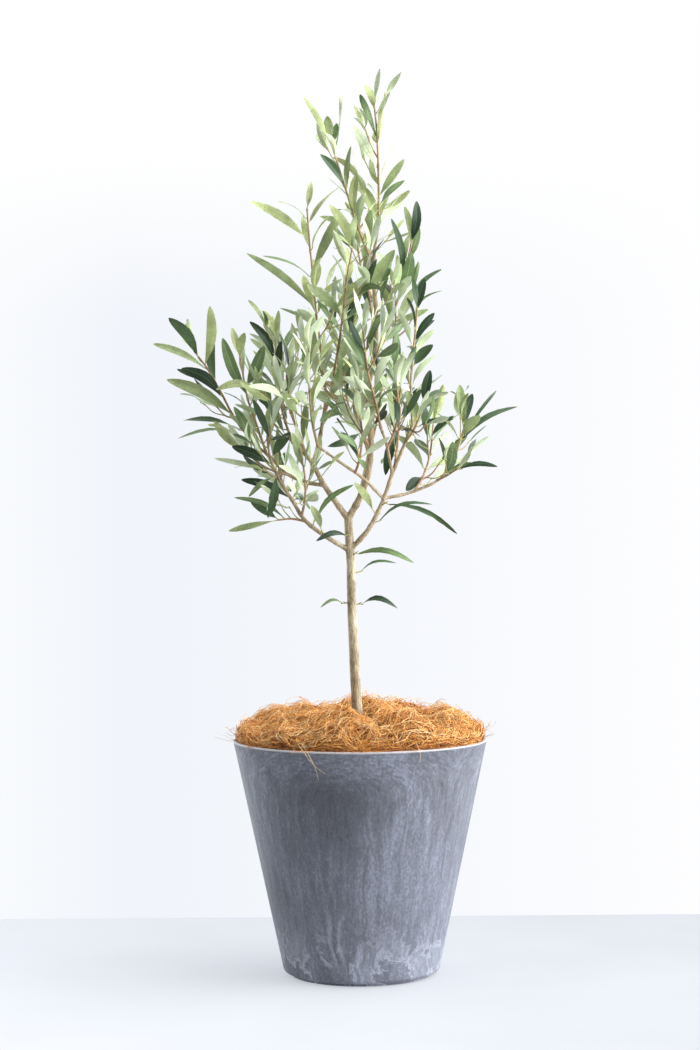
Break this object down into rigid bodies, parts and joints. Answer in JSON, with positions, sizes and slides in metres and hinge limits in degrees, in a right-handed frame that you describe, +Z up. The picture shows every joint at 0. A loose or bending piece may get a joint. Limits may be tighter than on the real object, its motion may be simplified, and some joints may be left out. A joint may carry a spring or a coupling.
{
  "type": "potted young olive tree",
  "caption": "Young olive tree with a slim straight trunk, forked boughs and sparse grey-green foliage, in a round tapered grey planter topped with coir mulch.",
  "frame": {"origin": "centre of the planter's flat underside, on the floor", "axes": "+Z up along the planter's axis, +X along the broad side of the crown, +Y towards the back of the crown"},
  "size_m": [0.388, 0.2745, 0.963],
  "materials": {
    "planter": "matte",
    "soil": "matte",
    "coir": "matte",
    "bark": "matte",
    "foliage": "satin"
  },
  "bodies": {
    "root": {"bough_back": "bark", "bough_back_left": "bark", "bough_back_low": "bark", "bough_back_right": "bark", "bough_front": "bark", "bough_leader_high": "bark", "bough_leader_low": "bark", "bough_left_high": "bark", "bough_left_low": "bark", "bough_left_middle": "bark", "bough_left_wing": "bark", "bough_right_inner": "bark", "bough_right_low": "bark", "bough_right_wing": "bark", "coir_mulch": "coir", "foliage_back": "foliage", "foliage_back_high": "foliage", "foliage_back_left": "foliage", "foliage_back_low": "foliage", "foliage_back_right": "foliage", "foliage_centre": "foliage", "foliage_centre_left": "foliage", "foliage_centre_low": "foliage", "foliage_front": "foliage", "foliage_front_high": "foliage", "foliage_front_low": "foliage", "foliage_front_right": "foliage", "foliage_left_front": "foliage", "foliage_left_inner": "foliage", "foliage_left_spire": "foliage", "foliage_left_wing": "foliage", "foliage_low_left": "foliage", "foliage_low_left_back": "foliage", "foliage_low_left_front": "foliage", "foliage_low_left_tip": "foliage", "foliage_right_back": "foliage", "foliage_right_front": "foliage", "foliage_right_high": "foliage", "foliage_right_inner": "foliage", "foliage_right_middle": "foliage", "foliage_right_side": "foliage", "foliage_right_upper": "foliage", "foliage_right_wing": "foliage", "foliage_top": "foliage", "foliage_top_left": "foliage", "foliage_wing_inner": "foliage", "foliage_wing_low": "foliage", "planter": "planter", "soil": "soil", "sprout_left_inner": "foliage", "sprout_left_low": "foliage", "sprout_right_droop": "foliage", "sprout_right_inner": "foliage", "sprout_right_thin": "foliage", "sprout_trunk_front": "foliage", "sprout_trunk_high": "foliage", "sprout_trunk_left": "foliage", "sprout_trunk_right": "foliage", "sprout_trunk_thin": "foliage", "trunk": "bark"}
  },
  "joints": []
}
